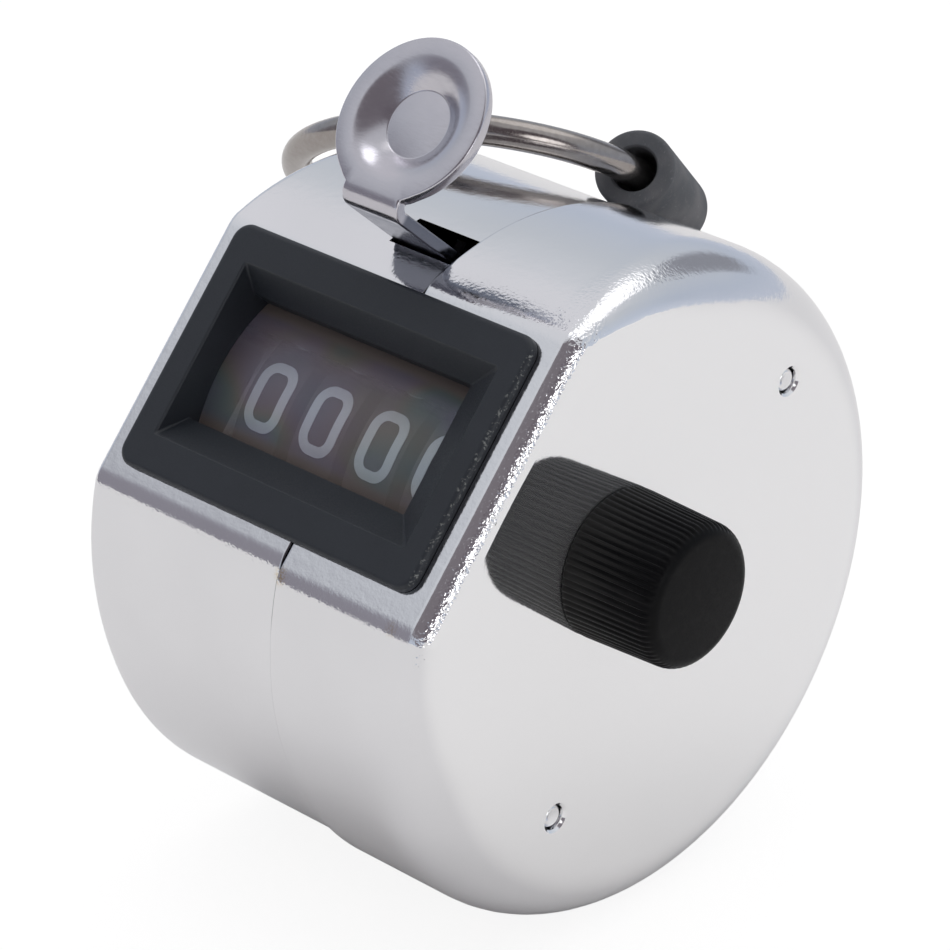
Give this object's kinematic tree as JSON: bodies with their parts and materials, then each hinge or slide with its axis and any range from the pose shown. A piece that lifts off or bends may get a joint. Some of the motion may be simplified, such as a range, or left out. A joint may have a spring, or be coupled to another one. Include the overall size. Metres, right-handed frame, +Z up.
{
  "type": "hand tally counter",
  "caption": "Round chromed hand counter with a flat window onto four number wheels, a sprung thumb lever, a ribbed reset knob and a finger ring.",
  "frame": {"origin": "centre of the round case's left flat face, on the case's centre line", "axes": "+X from the left flat face towards the reset knob, along the wheel shaft; -Y towards the user; +Z up. The window's outward normal lies in the YZ plane, towards -Y and 42 degrees above level"},
  "size_m": [0.0475, 0.0463, 0.0555],
  "materials": {
    "chrome": "bright chrome plating over pressed steel",
    "nickel": "satin nickel plating",
    "steel": "plain sheet and bar steel",
    "spring_steel": "tempered spring steel",
    "brass": "plain brass",
    "bezel_plastic": "satin black moulded plastic",
    "wheel_plastic": "dark grey-brown plastic, pale numbers",
    "knob_plastic": "black ribbed plastic",
    "rubber": "dull dark grey rubber",
    "lens": "clear bent plastic sheet with a faint rainbow tint"
  },
  "bodies": {
    "case": {"left_shell": "chrome", "right_shell": "chrome", "bezel": "bezel_plastic", "window_lens": "lens", "frame_plate_left": "steel", "frame_plate_right": "steel", "frame_post_upper": "steel", "frame_post_lower": "steel", "shaft_bush": "brass", "shaft_washer": "steel", "detent_bar": "steel", "detent_spring": "spring_steel", "detent_screw_left": "brass", "detent_screw_right": "brass", "lever_pivot_pin": "steel", "lever_return_spring": "spring_steel", "ring_sleeve": "rubber", "ring_stud": "steel"},
    "thumb_lever": {"thumb_lever": "nickel", "pawl_pin": "steel", "pawl_spring": "spring_steel"},
    "feed_pawl": {"feed_pawl": "brass"},
    "reset_knob": {"reset_knob": "knob_plastic", "reset_shaft": "steel", "shaft_clip": "spring_steel"},
    "finger_ring": {"finger_ring": "nickel"},
    "thousands_wheel": {"thousands_wheel": "wheel_plastic", "thousands_reset_pawl": "spring_steel", "thousands_pawl_pin": "brass"},
    "hundreds_wheel": {"hundreds_wheel": "wheel_plastic", "hundreds_reset_pawl": "spring_steel", "hundreds_pawl_pin": "brass"},
    "tens_wheel": {"tens_wheel": "wheel_plastic", "tens_reset_pawl": "spring_steel", "tens_pawl_pin": "brass"},
    "units_wheel": {"units_wheel": "wheel_plastic", "units_reset_pawl": "spring_steel", "units_pawl_pin": "brass"}
  },
  "joints": [
    {"name": "lever_press", "type": "hinge", "parent": "case", "child": "thumb_lever", "pos_m": [0.0144, -0.01716, -0.00635], "axis": [-1, 0, 0], "range_deg": [0, 5]},
    {"name": "pawl_yield", "type": "hinge", "parent": "thumb_lever", "child": "feed_pawl", "pos_m": [0.0144, 0.00256, 0.01465], "axis": [1, 0, 0], "range_deg": [0, 12]},
    {"name": "reset_turn", "type": "hinge", "parent": "case", "child": "reset_knob", "pos_m": [0.0144, -0.00485, 0.00477], "axis": [1, 0, 0], "continuous": true},
    {"name": "units_turn", "type": "hinge", "parent": "case", "child": "units_wheel", "pos_m": [0.0144, -0.00485, 0.00477], "axis": [-1, 0, 0], "continuous": true},
    {"name": "tens_turn", "type": "hinge", "parent": "case", "child": "tens_wheel", "pos_m": [0.0144, -0.00485, 0.00477], "axis": [-1, 0, 0], "continuous": true},
    {"name": "hundreds_turn", "type": "hinge", "parent": "case", "child": "hundreds_wheel", "pos_m": [0.0144, -0.00485, 0.00477], "axis": [-1, 0, 0], "continuous": true},
    {"name": "thousands_turn", "type": "hinge", "parent": "case", "child": "thousands_wheel", "pos_m": [0.0144, -0.00485, 0.00477], "axis": [-1, 0, 0], "continuous": true},
    {"name": "ring_swing", "type": "hinge", "parent": "case", "child": "finger_ring", "pos_m": [0.0112, 0.01824, 0.01636], "axis": [-0.2742, 0.7139, -0.6443], "range_deg": [0, 208]}
  ],
  "couplings": [
    {"joint": "tens_turn", "follows": "units_turn", "ratio": 0.1},
    {"joint": "hundreds_turn", "follows": "units_turn", "ratio": 0.01},
    {"joint": "thousands_turn", "follows": "units_turn", "ratio": 0.001}
  ]
}
